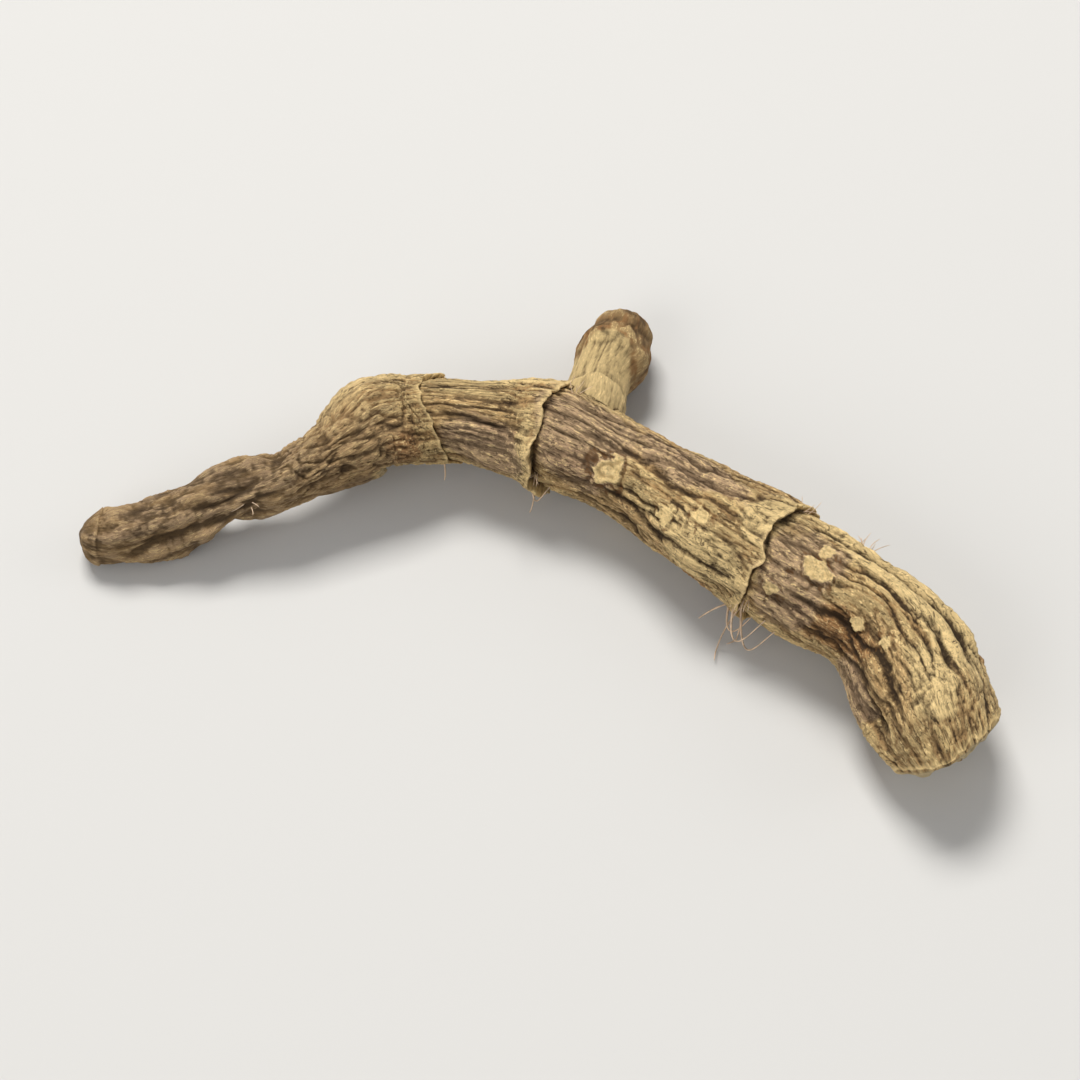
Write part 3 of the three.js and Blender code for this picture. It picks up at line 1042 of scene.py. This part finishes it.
class Nodes:
    """A short hand for building a material's nodes."""

    def __init__(self, material):
        material.use_nodes = True
        self.tree = material.node_tree
        self.tree.nodes.clear()

    def add(self, kind, **settings):
        node = self.tree.nodes.new(kind)
        for key, value in settings.items():
            setattr(node, key, value)
        return node

    def put(self, socket, value):
        if isinstance(value, bpy.types.NodeSocket):
            self.tree.links.new(value, socket)
        else:
            socket.default_value = value

    def read(self, name, output="Fac"):
        return self.add("ShaderNodeAttribute", attribute_name=name).outputs[output]

    def math(self, operation, a, b=0.0):
        node = self.add("ShaderNodeMath", operation=operation)
        self.put(node.inputs[0], a)
        self.put(node.inputs[1], b)
        return node.outputs[0]

    def plus(self, a, b):
        return self.math("ADD", a, b)

    def minus(self, a, b):
        return self.math("SUBTRACT", a, b)

    def times(self, a, b):
        return self.math("MULTIPLY", a, b)

    def greater(self, a, b):
        return self.math("MAXIMUM", a, b)

    def swing(self, value, gain):
        """A noise made to swing round 0 instead of 0.5, weaker or stronger."""
        return self.times(self.minus(value, 0.5), gain)

    def span(self, value, low, high, to_low=0.0, to_high=1.0):
        """Goes smoothly from to_low, where the value is low, to to_high."""
        node = self.add("ShaderNodeMapRange", interpolation_type="SMOOTHSTEP")
        for socket, number in zip(node.inputs, (value, low, high, to_low, to_high)):
            self.put(socket, number)
        return node.outputs[0]

    def line(self, value, middle, width, strength):
        """A thin line where the value passes the middle."""
        off = self.math("ABSOLUTE", self.minus(value, middle))
        return self.span(off, 0.0, width, strength, 0.0)

    def noise(self, place, stretch, detail=3.0, roughness=0.55, distortion=0.0):
        scaled = self.add("ShaderNodeMapping")
        self.put(scaled.inputs["Vector"], place)
        scaled.inputs["Scale"].default_value = stretch
        node = self.add("ShaderNodeTexNoise")
        self.put(node.inputs["Vector"], scaled.outputs[0])
        node.inputs["Scale"].default_value = 1.0
        node.inputs["Detail"].default_value = detail
        node.inputs["Roughness"].default_value = roughness
        node.inputs["Distortion"].default_value = distortion
        return node.outputs["Fac"]

    def blend(self, share, a, b):
        node = self.add("ShaderNodeMix", data_type="RGBA")
        self.put(node.inputs["Factor"], share)
        for key, colour in (("A", a), ("B", b)):
            socket = [s for s in node.inputs if s.name == key and s.type == "RGBA"][0]
            if isinstance(colour, bpy.types.NodeSocket):
                self.put(socket, colour)
            else:
                socket.default_value = (*colour[:3], 1.0)
        return [s for s in node.outputs if s.type == "RGBA"][0]

    def two_tone(self, share, colour, dark, light):
        """A colour that goes from a darker to a lighter shade of itself."""
        return self.blend(share, shaded(colour, dark), shaded(colour, light))

    def bump(self, height, distance, strength):
        node = self.add("ShaderNodeBump")
        node.inputs["Strength"].default_value = strength
        node.inputs["Distance"].default_value = distance
        self.put(node.inputs["Height"], height)
        return node.outputs[0]

    def surface(self, colour, roughness, normal, specular):
        shader = self.add("ShaderNodeBsdfPrincipled")
        self.put(shader.inputs["Base Color"], colour)
        self.put(shader.inputs["Roughness"], roughness)
        shader.inputs["Specular IOR Level"].default_value = specular
        if normal is not None:
            self.put(shader.inputs["Normal"], normal)
        out = self.add("ShaderNodeOutputMaterial")
        self.tree.links.new(shader.outputs[0], out.inputs["Surface"])


def shaded(colour, share):
    """A colour made darker or lighter."""
    return tuple(share * channel for channel in colour)


class Bark(Nodes):
    """The nodes of the dry bark: the patterns that its parts share, and the parts."""

    def __init__(self, material, colours):
        super().__init__(material)
        self.colours = colours
        self.grain = self.read("grain", "Vector")
        self.speckle = self.noise(self.grain, (3.4, 3.4, 2.4), detail=5.0, roughness=0.7)
        self.streak = self.noise(self.grain, (2.4, 2.4, 0.4), 5.0, 0.65, 0.3)
        self.patch = self.noise(self.grain, (0.3, 0.3, 0.16), detail=6.0, roughness=0.7)
        self.stain = self.noise(self.grain, (0.33, 0.33, 0.17), 6.0, 0.7, 0.6)
        # Height on the ridge, made uneven by the streaks and specks of the bark. The tones go
        # lighter with it on the worn crests, and darker in the furrows, which is painted shade.
        height = self.plus(self.read("ridge"), self.swing(self.streak, 0.9))
        self.height = self.plus(height, self.swing(self.speckle, 0.9))
        # The lumps' height. The old tail and the bud go darker with it low down, which is painted
        # shade.
        lump = self.plus(self.read("ridge"), self.swing(self.stain, 1.2))
        self.lump = self.plus(lump, self.swing(self.speckle, 0.5))
        self.young = self.plus(self.read("neck"), self.read("bud"))

    def ragged(self, name, low=0.35, high=0.6):
        """A tone's share of the skin, with edges that the bark's own patches make ragged."""
        return self.span(self.plus(self.read(name), self.swing(self.patch, 1.3)), low, high)

    def cover(self, skin, share, strength, colour):
        return self.blend(self.times(share, strength), skin, colour)

    def toned(self):
        """Tan and olive skin with its stains, the young, old and dusky parts and the bud."""
        colours, height = self.colours, self.height
        # Each tone is lighter on the worn crests and darker in the furrows, which is painted shade.
        tan = self.two_tone(self.span(self.patch, 0.4, 0.6), colours.ridge, 0.66, 1.04)
        hide = self.two_tone(self.span(self.stain, 0.4, 0.6), colours.hide, 0.7, 1.35)
        skin = self.blend(self.span(height, 0.42, 0.92), hide, tan)
        straw = self.two_tone(self.span(height, 0.3, 0.8), colours.cork, 0.5, 1.05)
        skin = self.cover(skin, self.ragged("pale"), 0.8, straw)
        skin = self.cover(skin, self.read("peeled"), 0.35, shaded(colours.cork, 0.72))
        umber = self.two_tone(self.span(height, 0.4, 1.0), colours.hide, 0.5, 1.45)
        skin = self.cover(skin, self.ragged("brown", 0.28, 0.5), 0.85, umber)
        rusty = self.two_tone(self.span(height, 0.3, 0.9), colours.russet, 0.5, 1.25)
        skin = self.cover(skin, self.ragged("russet"), 0.7, rusty)
        dusky = self.two_tone(self.span(height, 0.45, 1.0), colours.dusk, 0.85, 1.9)
        skin = self.cover(skin, self.ragged("dusk"), 0.85, dusky)
        # The old tail: darker low between its lumps, which is painted shade, and lighter on their
        # tops, partly painted highlight, with stains.
        old = self.two_tone(self.span(self.lump, 0.05, 1.1), colours.dusk, 0.3, 1.35)
        olive = shaded(colours.hide, 1.1)
        old = self.blend(self.span(self.patch, 0.4, 0.62, 0.1, 0.6), old, olive)
        skin = self.cover(skin, self.read("tail"), 0.92, old)
        young = self.two_tone(self.span(height, 0.15, 0.75), colours.cork, 0.48, 0.8)
        skin = self.cover(skin, self.read("neck"), 0.88, young)
        return self.cover(skin, self.read("bud"), 0.85, self.chestnut())

    def chestnut(self):
        """The bud's brown scales, tan on their lumps and darkened between them with painted shade.
        """
        colours = self.colours
        brown, red = shaded(colours.hide, 0.75), shaded(colours.russet, 0.9)
        scales = self.blend(self.span(self.stain, 0.38, 0.6), brown, red)
        raised = self.span(self.lump, 0.5, 1.0, 0.0, 0.65)
        scales = self.blend(raised, scales, shaded(colours.ridge, 0.62))
        # Painted shade between the scales.
        sunk = self.span(self.lump, 0.1, 0.4, 0.45, 0.0)
        return self.blend(sunk, scales, shaded(colours.furrow, 2.2))

    def darkened(self, skin):
        """Painted shade in the furrows, partly the bark's own dark brown, and in the hollows; dark
        cracks and pits. Returns the cracks too, for the relief.
        """
        colours = self.colours
        # Painted shade in the furrows, partly the bark's own dark brown: the lower the height, the
        # darker.
        furrow = self.two_tone(self.span(self.height, 0.0, 0.35), colours.furrow, 1.0, 3.2)
        softer = self.times(self.greater(self.young, self.read("dusk")), 0.5)
        softer = self.greater(softer, self.times(self.read("tail"), 0.75))
        deep = self.span(self.height, 0.08, 0.42, 0.92, 0.0)
        skin = self.cover(skin, deep, self.minus(1.0, softer), furrow)
        # Painted shade: the hollows are darkened with the furrow colour.
        skin = self.cover(skin, self.read("hollow"), 0.4, shaded(colours.furrow, 2.0))
        smoothness = self.plus(self.young, self.times(self.read("tail"), 0.6))
        creased = self.minus(1.0, self.times(smoothness, 0.8))
        long_crack = self.noise(self.grain, (1.3, 1.3, 0.2), 3.0, 0.6, 0.8)
        long_crack = self.line(long_crack, 0.5, 0.02, 0.85)
        short_crack = self.noise(self.grain, (2.8, 2.8, 0.6), 2.0, 0.6, 0.6)
        short_crack = self.line(short_crack, 0.5, 0.03, 0.4)
        crack = self.times(self.greater(long_crack, short_crack), creased)
        skin = self.blend(crack, skin, shaded(colours.furrow, 2.2))
        pit = self.span(self.noise(self.grain, (5.5, 5.5, 4.5), detail=1.0), 0.66, 0.72)
        return self.cover(skin, self.times(pit, creased), 0.7, colours.furrow), crack

    def flecked(self, skin):
        """Pale flecks and strands on the ridges."""
        fleck = self.span(self.noise(self.grain, (4.2, 4.2, 1.7), 4.0, 0.65), 0.54, 0.64)
        fleck = self.times(fleck, self.span(self.height, 0.5, 0.95, 0.0, 0.85))
        fewer = self.minus(1.0, self.times(self.read("tail"), 0.6))
        skin = self.cover(skin, fleck, fewer, shaded(self.colours.cork, 1.25))
        strand = self.line(self.noise(self.grain, (3.0, 3.0, 0.22), 2.0, 0.5, 0.4), 0.46, 0.02, 0.6)
        high = self.span(self.height, 0.45, 0.8)
        return self.cover(skin, strand, high, shaded(self.colours.cork, 1.1))

    def scarred(self, skin):
        """Corky scars in dark rings, with painted shadow in their moats, and the worn rims of the
        collars.
        """
        colours = self.colours
        cork = self.two_tone(self.span(self.speckle, 0.3, 0.6), colours.cork, 0.7, 1.2)
        torn = self.plus(self.swing(self.speckle, 1.1), self.swing(self.patch, 0.5))
        scar = self.span(self.plus(self.read("scar"), torn), 0.5, 0.75, 0.0, 0.9)
        skin = self.blend(scar, skin, cork)
        # Painted shadow in each scar's moat, and brown with painted shade in its groove.
        ring = self.span(self.plus(self.read("scar_ring_and_shadow"), torn), 0.35, 0.9, 0.0, 0.75)
        skin = self.blend(ring, skin, shaded(colours.russet, 0.6))
        rim = self.span(self.read("rim"), 0.3, 1.0)
        worn = self.span(self.streak, 0.3, 0.6, 0.3, 0.95)
        return self.cover(skin, rim, worn, shaded(colours.cork, 1.15))

    def broken(self):
        """The crumbly broken face, with pores, strands and the ring round its core."""
        colours = self.colours
        crumb = self.noise(self.grain, (1.6, 1.6, 1.6), detail=5.0, roughness=0.7)
        face = self.two_tone(self.span(crumb, 0.35, 0.7), colours.pith, 0.7, 1.0)
        pores = self.span(self.noise(self.grain, (3.0, 3.0, 3.0), detail=2.0), 0.62, 0.72)
        face = self.cover(face, pores, 0.8, colours.hide)
        core = self.read("core")
        face = self.blend(self.line(core, 0.66, 0.05, 0.55), face, colours.russet)
        face = self.blend(self.span(core, 0.45, 0.62, 0.35, 0.0), face, shaded(colours.pith, 0.6))
        strands = self.span(self.noise(self.grain, (1.9, 1.9, 0.6), detail=1.0), 0.6, 0.66)
        inner = self.span(core, 0.5, 0.7, 0.8, 0.15)
        return self.cover(face, strands, inner, shaded(colours.hide, 0.7))


def bark_material(colours):
    """Dry bark: tan worn ridges, furrows darkened partly by painted shade, stained and flecked,
    with cork, rims and pith.
    """
    material = bpy.data.materials.new("dry_bark")
    bark = Bark(material, colours)
    skin, crack = bark.darkened(bark.toned())
    skin = bark.scarred(bark.flecked(skin))
    skin = bark.blend(bark.read("pith"), skin, bark.broken())
    fine = bark.noise(bark.grain, (6.0, 6.0, 2.0), detail=5.0, roughness=0.75)
    etched = bark.minus(bark.plus(fine, bark.times(bark.streak, 1.5)), crack)
    roughness = bark.span(bark.height, 0.2, 0.9, 0.92, 0.68)
    bark.surface(skin, roughness, bark.bump(etched, 0.0002, 0.8), 0.28)
    return material


def fibre_material(colours):
    """Straw-coloured fibre, darker in streaks."""
    material = bpy.data.materials.new("root_fibre")
    n = Nodes(material)
    place = n.add("ShaderNodeTexCoord").outputs["Object"]
    streak = n.noise(place, (900.0, 900.0, 900.0), detail=2.0)
    colour = n.blend(n.span(streak, 0.4, 0.7), colours.fibre, shaded(colours.fibre, 0.6))
    n.surface(colour, 0.7, n.bump(streak, 0.00005, 0.4), 0.3)
    return material


class RHIZOME_OT_skin(bpy.types.Operator):
    """Grows the wrinkled skin of the stem, its side shoot and its root stump as one closed piece"""

    bl_idname = "rhizome.skin"
    bl_label = "Grow skin"

    def execute(self, context):
        form = context.scene.rhizome_form
        bark = bark_material(context.scene.rhizome_colours)
        piece = stem_object("rhizome_skin", MAIN, form, all_scars(), old_tail, bark)
        shoot = stem_object("shoot", SHOOT, form, [], neck_and_bud, bark)
        stump = stem_object("stump", STUMP, form, [], all_old, bark)
        fuse(piece, [shoot, stump])
        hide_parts(NODE)
        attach(piece, BODY)
        return {"FINISHED"}


@dataclass
class Strand:
    """A root fibre: where it springs from the main stem, its length, curl, lean and drop."""

    at: float
    turn: float
    length: float
    curl: float
    lean: float
    drop: float


@dataclass
class Loop:
    """A root fibre that leaves the main stem and comes back: both ends, its sag and its bow."""

    at: float
    turn: float
    end: float
    end_turn: float
    sag: float
    bow: float


# Fibres that hang from the collars.
HANGING = [
    Strand(92.6, 104, 6.5, 1.4, -0.9, 0.7),
    Strand(93.2, 112, 8.5, -1.9, -0.3, 0.9),
    Strand(93.4, 124, 6.0, 2.4, 0.4, 0.8),
    Strand(62.0, 116, 4.5, 2.2, 0.4, 0.8),
    Strand(62.0, -108, 5.0, -2.0, -0.4, 0.8),
    Strand(48.4, 128, 3.5, 1.8, 0.3, 0.6),
    Strand(92.8, -118, 5.5, 2.4, -0.3, 0.9),
]
LOOPS = [
    Loop(92.2, 100, 97.0, 96, 2.6, 3.2),
    Loop(93.0, 108, 98.6, 104, 3.6, 2.4),
    Loop(91.4, 112, 95.2, 108, 2.0, 2.6),
    Loop(61.6, 104, 64.6, 110, 1.4, 1.6),
    Loop(93.0, -110, 97.4, -104, 2.0, 2.4),
]
# Tufts of short fibres: each one's place along the stem, its turn and how many fibres it has.
TUFTS = [
    (102.0, -66, 7),
    (93.4, 84, 6),
    (62.3, -48, 5),
    (62.3, 92, 5),
    (93.4, -60, 5),
    (22.0, 60, 3),
]


ROOT_DEPTH = 0.4  # how deep in the skin a fibre starts
FLOOR_GAP = 0.35  # lowest that a fibre's middle may lie
FIBRE_SIDES = 6
STRAND_STEPS, TUFT_STEPS, LOOP_STEPS = 22, 7, 26
TUFT_WIDTH = 0.45  # width of a tuft's fibres, as a share of the others'
FIBRE_END = 0.45  # width of a fibre at its far end, as a share of its start


def skin_point(along, degrees):
    """A point on the main stem's plain form, with the directions straight out of it and ahead."""
    middle = MAIN.sample(MAIN.line[:, :3], along)
    ahead, side, top = axes_at(MAIN, along)
    turn = np.radians(degrees)
    out = side * np.sin(turn) + top * FLATNESS * np.cos(turn)
    return middle + MAIN.half(along) * out, out / np.linalg.norm(out), ahead


def strand_path(strand, steps):
    """The fibre's route: out of the skin, bending down under its weight and curling."""
    foot, out, ahead = skin_point(strand.at, strand.turn)
    place = foot - ROOT_DEPTH * out
    heading = out + strand.lean * ahead
    heading /= np.linalg.norm(heading)
    path = [place]
    step = (strand.length + ROOT_DEPTH) / steps
    for i in range(steps):
        part = i / steps
        bend = strand.drop * -UP + strand.curl * 0.25 * np.cross(heading, UP)
        heading = heading + bend * 2.2 / steps
        heading = heading + 0.35 / steps * strand.curl * np.sin(5 * part) * ahead
        heading /= np.linalg.norm(heading)
        place = place + heading * step
        if place[2] < FLOOR_GAP:
            place[2] = FLOOR_GAP
            heading[2] = abs(heading[2]) * 0.2
        path.append(place)
    return np.array(path)


def loop_path(loop, steps):
    """The route of a fibre between two places on the skin, out in a bow and down in a sag."""
    start, start_out, _ = skin_point(loop.at, loop.turn)
    end, end_out, _ = skin_point(loop.end, loop.end_turn)
    path = []
    for i in range(steps + 1):
        t = i / steps
        arch = np.sin(np.pi * t)
        place = start * (1 - t) + end * t + (start_out * (1 - t) + end_out * t) * loop.bow * arch
        place = place - UP * loop.sag * arch * (0.6 + 0.4 * np.sin(5 * t + loop.at))
        place[2] = max(place[2], FLOOR_GAP)
        path.append(place - ROOT_DEPTH * (1 - arch) * start_out)
    return np.array(path)


def add_fibre(bm, path, width):
    """A closed tapering tube round the path, wrapped from a grid."""
    count = len(path)
    ahead = np.gradient(path, axis=0)
    ahead /= np.linalg.norm(ahead, axis=1)[:, None]
    side = np.cross(ahead, UP + 0.01)
    side /= np.linalg.norm(side, axis=1)[:, None]
    top = np.cross(side, ahead)
    taper = np.linspace(1.0, FIBRE_END, count)
    taper[0] = taper[-1] = 0.0
    grid = bmesh.ops.create_grid(bm, x_segments=count - 1, y_segments=FIBRE_SIDES, size=0.5)
    for vert in grid["verts"]:
        i = round((vert.co.x + 0.5) * (count - 1))
        turn = 2 * np.pi * (vert.co.y + 0.5)
        ring = side[i] * np.cos(turn) + top[i] * np.sin(turn)
        vert.co = (path[i] + ring * width / 2 * taper[i] - FORM_MIDDLE) * MM
    bmesh.ops.remove_doubles(bm, verts=grid["verts"], dist=1e-8)


class RHIZOME_OT_fibres(bpy.types.Operator):
    """Hangs the dried root fibres and short tufts from the collars"""

    bl_idname = "rhizome.fibres"
    bl_label = "Hang fibres"

    def execute(self, context):
        form = context.scene.rhizome_form
        random = np.random.RandomState(form.seed)
        strands = [(strand, STRAND_STEPS, 1.0) for strand in HANGING]
        for at, turn, count in TUFTS:
            for _ in range(count):
                spread = random.uniform(-1, 1, 5)
                tuft = Strand(
                    at=at + 0.8 * spread[0],
                    turn=turn + 9 * spread[1],
                    length=1.6 + 0.7 * spread[2],
                    curl=1.5 * spread[3],
                    lean=0.8 * spread[4],
                    drop=0.1,
                )
                strands.append((tuft, TUFT_STEPS, TUFT_WIDTH))
        bm = bmesh.new()
        for strand, steps, share in strands:
            add_fibre(bm, strand_path(strand, steps), mm(form.fibre_width) * share)
        for loop in LOOPS:
            add_fibre(bm, loop_path(loop, LOOP_STEPS), mm(form.fibre_width))
        bmesh.ops.recalc_face_normals(bm, faces=bm.faces)
        for face in bm.faces:
            face.smooth = True
        mesh = bpy.data.meshes.new("root_fibres")
        bm.to_mesh(mesh)
        bm.free()
        piece = bpy.data.objects.new("root_fibres", mesh)
        context.scene.collection.objects.link(piece)
        mesh.materials.append(fibre_material(context.scene.rhizome_colours))
        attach(piece, BODY)
        return {"FINISHED"}


# The stage, in metres and watts: the middle of what is looked at, and the lights round it.
CENTRE = (0.0015, -0.001, 0.006)
LIGHTS = [
    ("key", (-0.3, 1.05, 1.55), 0.875, 37.5, (1.0, 0.98, 0.94)),
    ("fill", (-1.4, -1.4, 1.25), 1.75, 17.5, (1.0, 0.99, 0.97)),
    ("edge", (1.75, 0.25, 0.875), 1.0, 3.75, (1.0, 0.98, 0.95)),
]
SKY_STRENGTH = 0.32
FLOOR_HALF = 3.0
FLOOR_COLOUR = (0.62, 0.615, 0.605, 1.0)
LENS = 85.0
CAMERA_DISTANCE = 0.305
CAMERA_ELEVATION = np.radians(60.0)


def aim_from(thing, place):
    """Puts a lamp or the camera at its place, looking at the centre."""
    thing.location = place
    thing.rotation_euler = (Vector(CENTRE) - thing.location).to_track_quat("-Z", "Y").to_euler()
    bpy.context.scene.collection.objects.link(thing)


def softbox(name, place, size, power, colour):
    """A wide soft lamp that shines on the centre."""
    light = bpy.data.lights.new(name, "AREA")
    light.shape = "RECTANGLE"
    light.size = size
    light.size_y = size * 0.7
    light.energy = power
    light.color = colour
    aim_from(bpy.data.objects.new(name, light), place)


class RHIZOME_OT_stage(bpy.types.Operator):
    """Lays a pale floor, sets soft lights and aims the camera"""

    bl_idname = "rhizome.stage"
    bl_label = "Set stage"

    def execute(self, context):
        scene = context.scene
        bm = bmesh.new()
        bmesh.ops.create_grid(bm, x_segments=1, y_segments=1, size=FLOOR_HALF)
        mesh = bpy.data.meshes.new("floor")
        bm.to_mesh(mesh)
        bm.free()
        floor = bpy.data.objects.new("floor", mesh)
        scene.collection.objects.link(floor)
        paper = bpy.data.materials.new("pale_floor")
        Nodes(paper).surface(FLOOR_COLOUR, 0.85, None, 0.2)
        mesh.materials.append(paper)
        for light in LIGHTS:
            softbox(*light)
        world = bpy.data.worlds.new("studio")
        world.use_nodes = True
        sky = world.node_tree.nodes["Background"]
        sky.inputs["Color"].default_value = (1.0, 1.0, 1.0, 1.0)
        sky.inputs["Strength"].default_value = SKY_STRENGTH
        scene.world = world
        scene.view_settings.view_transform = "Standard"
        lens = bpy.data.cameras.new("camera")
        lens.lens = LENS
        lens.sensor_width = 36.0
        lens.clip_start = 0.01
        back = CAMERA_DISTANCE * np.cos(CAMERA_ELEVATION)
        up = CAMERA_DISTANCE * np.sin(CAMERA_ELEVATION)
        scene.camera = bpy.data.objects.new("camera", lens)
        aim_from(scene.camera, (CENTRE[0], CENTRE[1] - back, CENTRE[2] + up))
        return {"FINISHED"}


class RHIZOME_PT_panel(bpy.types.Panel):
    """Sizes, colours and steps of the rhizome"""

    bl_idname = "RHIZOME_PT_panel"
    bl_label = "Sweet flag rhizome"
    bl_space_type = "VIEW_3D"
    bl_region_type = "UI"
    bl_category = "Rhizome"

    def draw(self, context):
        for group in (context.scene.rhizome_form, context.scene.rhizome_colours):
            for name in group.__annotations__:
                self.layout.prop(group, name)
        for step in STEPS:
            self.layout.operator(step.bl_idname)


STEPS = (RHIZOME_OT_skin, RHIZOME_OT_fibres, RHIZOME_OT_stage)
CLASSES = (RhizomeForm, RhizomeColours, *STEPS, RHIZOME_PT_panel)


def register():
    for cls in CLASSES:
        bpy.utils.register_class(cls)
    bpy.types.Scene.rhizome_form = PointerProperty(type=RhizomeForm)
    bpy.types.Scene.rhizome_colours = PointerProperty(type=RhizomeColours)


def unregister():
    del bpy.types.Scene.rhizome_colours
    del bpy.types.Scene.rhizome_form
    for cls in reversed(CLASSES):
        bpy.utils.unregister_class(cls)


def main():
    register()
    bpy.ops.rhizome.skin()
    bpy.ops.rhizome.fibres()
    bpy.ops.rhizome.stage()


if __name__ == "__main__":
    main()
